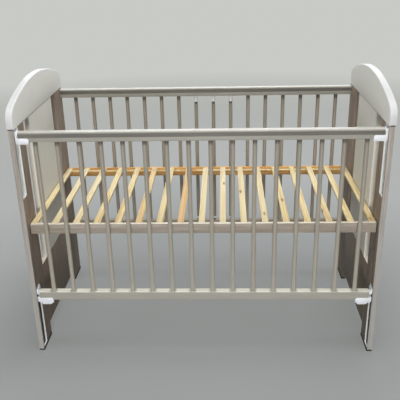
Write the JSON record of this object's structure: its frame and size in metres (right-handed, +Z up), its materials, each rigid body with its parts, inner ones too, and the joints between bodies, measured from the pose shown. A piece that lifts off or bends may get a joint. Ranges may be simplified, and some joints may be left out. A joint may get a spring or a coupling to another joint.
{
  "type": "drop-side crib",
  "caption": "Slatted wooden crib with arched end panels, a front side that slides down in tracks, removable rear bars and a slatted bed base at its upper height.",
  "frame": {"origin": "on the floor, under the middle of the crib", "axes": "+X to the right along the crib as seen from the drop side, +Y from the drop side to the fixed side, +Z up"},
  "size_m": [1.249, 0.64, 0.984],
  "materials": {
    "taupe_laminate": "matt wood-grain laminate",
    "pale_laminate": "matt wood-grain laminate",
    "painted_wood": "satin paint",
    "pine": "planed, bare",
    "white_plastic": "satin moulded",
    "black_rubber": "matt",
    "zinc_steel": "zinc plated"
  },
  "bodies": {
    "frame": {"left_front_leg": "taupe_laminate", "left_rear_leg": "taupe_laminate", "left_centre_panel": "pale_laminate", "left_lower_board": "taupe_laminate", "left_arch_board": "pale_laminate", "left_front_foot_glide": "black_rubber", "left_rear_foot_glide": "black_rubber", "left_upper_track": "white_plastic", "left_lower_track": "white_plastic", "left_track_runner_strip": "black_rubber", "left_front_bed_bolt": "zinc_steel", "left_rear_bed_bolt": "zinc_steel", "right_front_leg": "taupe_laminate", "right_rear_leg": "taupe_laminate", "right_centre_panel": "pale_laminate", "right_lower_board": "taupe_laminate", "right_arch_board": "pale_laminate", "right_front_foot_glide": "black_rubber", "right_rear_foot_glide": "black_rubber", "right_upper_track": "white_plastic", "right_lower_track": "white_plastic", "right_track_runner_strip": "black_rubber", "right_front_bed_bolt": "zinc_steel", "right_rear_bed_bolt": "zinc_steel", "rear_side_top_rail": "painted_wood", "rear_side_bottom_rail_and_bars": "painted_wood", "bar_spring_cap_1": "white_plastic", "bar_spring_cap_2": "white_plastic", "bar_spring_cap_3": "white_plastic", "bed_front_board": "taupe_laminate", "bed_rear_board": "taupe_laminate", "bed_front_batten_and_slats": "pine", "bed_rear_batten": "pine"},
    "drop_side": {"drop_side_top_rail": "painted_wood", "drop_side_bottom_rail": "painted_wood", "drop_side_bar_01": "painted_wood", "drop_side_bar_02": "painted_wood", "drop_side_bar_03": "painted_wood", "drop_side_bar_04": "painted_wood", "drop_side_bar_05": "painted_wood", "drop_side_bar_06": "painted_wood", "drop_side_bar_07": "painted_wood", "drop_side_bar_08": "painted_wood", "drop_side_bar_09": "painted_wood", "drop_side_bar_10": "painted_wood", "drop_side_bar_11": "painted_wood", "drop_side_bar_12": "painted_wood", "drop_side_bar_13": "painted_wood", "drop_side_bar_14": "painted_wood", "drop_side_bar_15": "painted_wood", "drop_side_bar_16": "painted_wood", "left_top_slider": "white_plastic", "left_bottom_slider": "white_plastic", "right_top_slider": "white_plastic", "right_bottom_slider": "white_plastic"},
    "left_lever": {"left_release_lever": "white_plastic"},
    "right_lever": {"right_release_lever": "white_plastic"},
    "removable_bar_1_body": {"removable_bar_1": "painted_wood"},
    "removable_bar_2_body": {"removable_bar_2": "painted_wood"},
    "removable_bar_3_body": {"removable_bar_3": "painted_wood"}
  },
  "joints": [
    {"name": "drop_side_slide", "type": "slide", "parent": "frame", "child": "drop_side", "axis": [0, 0, -1], "range_m": [0, 0.19]},
    {"name": "left_lever_pivot", "type": "hinge", "parent": "drop_side", "child": "left_lever", "pos_m": [-0.567, -0.3146, 0.2124], "axis": [1, 0, 0], "range_deg": [0, 25], "stiffness_Nm_per_rad": 0.02, "springref_deg": -11.46},
    {"name": "right_lever_pivot", "type": "hinge", "parent": "drop_side", "child": "right_lever", "pos_m": [0.567, -0.3146, 0.2124], "axis": [1, 0, 0], "range_deg": [0, 25], "stiffness_Nm_per_rad": 0.02, "springref_deg": -11.46},
    {"name": "removable_bar_1_lift", "type": "slide", "parent": "frame", "child": "removable_bar_1_body", "axis": [0, 0, 1], "range_m": [0, 0.008], "stiffness_N_per_m": 400, "springref_m": -0.01},
    {"name": "removable_bar_2_lift", "type": "slide", "parent": "frame", "child": "removable_bar_2_body", "axis": [0, 0, 1], "range_m": [0, 0.008], "stiffness_N_per_m": 400, "springref_m": -0.01},
    {"name": "removable_bar_3_lift", "type": "slide", "parent": "frame", "child": "removable_bar_3_body", "axis": [0, 0, 1], "range_m": [0, 0.008], "stiffness_N_per_m": 400, "springref_m": -0.01}
  ]
}
